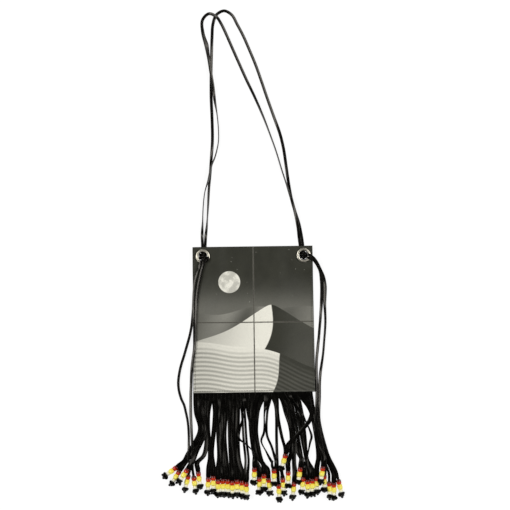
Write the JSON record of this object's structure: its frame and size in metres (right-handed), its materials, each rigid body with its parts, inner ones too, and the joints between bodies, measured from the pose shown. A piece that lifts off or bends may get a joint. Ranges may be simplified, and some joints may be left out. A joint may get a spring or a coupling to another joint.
{
  "type": "fringed crossbody bag",
  "caption": "Flat leather crossbody bag of seamed front panels with eyelets in its top corners, a doubled lace strap with long loose ends, and a slit leather fringe with beads.",
  "frame": {"origin": "on the floor, under the middle of the back panel that the bag lies on", "axes": "+X across the bag, +Y towards the strap, +Z out of the printed front"},
  "size_m": [0.3134, 0.8428, 0.0152],
  "materials": {
    "front_leather_dark": "satin printed",
    "front_leather_pale": "satin printed",
    "back_leather": "satin",
    "black_leather": "smooth",
    "eyelet_metal": "polished nickel",
    "bead": "gloss"
  },
  "bodies": {
    "root": {"front_upper_left": "front_leather_dark", "front_upper_right": "front_leather_dark", "front_lower_left": "front_leather_pale", "front_lower_right": "front_leather_pale", "back_panel": "back_leather", "strap_lace_under": "black_leather", "strap_lace_over": "black_leather", "left_strap_knot": "black_leather", "right_strap_knot": "black_leather", "left_tail_inner": "black_leather", "left_tail_outer": "black_leather", "right_tail_inner": "black_leather", "right_tail_outer": "black_leather", "fringe": "black_leather", "left_eyelet": "eyelet_metal", "left_eyelet_washer": "eyelet_metal", "right_eyelet": "eyelet_metal", "right_eyelet_washer": "eyelet_metal", "fringe_beads_01": "bead", "fringe_beads_02": "bead", "fringe_beads_03": "bead", "fringe_beads_04": "bead", "fringe_beads_05": "bead", "fringe_beads_06": "bead", "fringe_beads_07": "bead", "fringe_beads_08": "bead", "fringe_beads_09": "bead", "fringe_beads_10": "bead", "fringe_beads_11": "bead", "fringe_beads_12": "bead", "fringe_beads_13": "bead", "fringe_beads_14": "bead", "fringe_beads_15": "bead", "fringe_beads_16": "bead", "fringe_beads_17": "bead", "fringe_beads_18": "bead", "fringe_beads_19": "bead", "fringe_beads_20": "bead", "fringe_beads_21": "bead", "fringe_beads_22": "bead", "fringe_beads_23": "bead", "fringe_beads_24": "bead", "fringe_beads_25": "bead", "fringe_beads_26": "bead", "fringe_beads_27": "bead", "fringe_beads_28": "bead", "fringe_beads_29": "bead", "fringe_beads_30": "bead", "fringe_beads_31": "bead", "left_tail_inner_beads": "bead", "left_tail_outer_beads": "bead", "right_tail_inner_beads": "bead", "right_tail_outer_beads": "bead"}
  },
  "joints": []
}
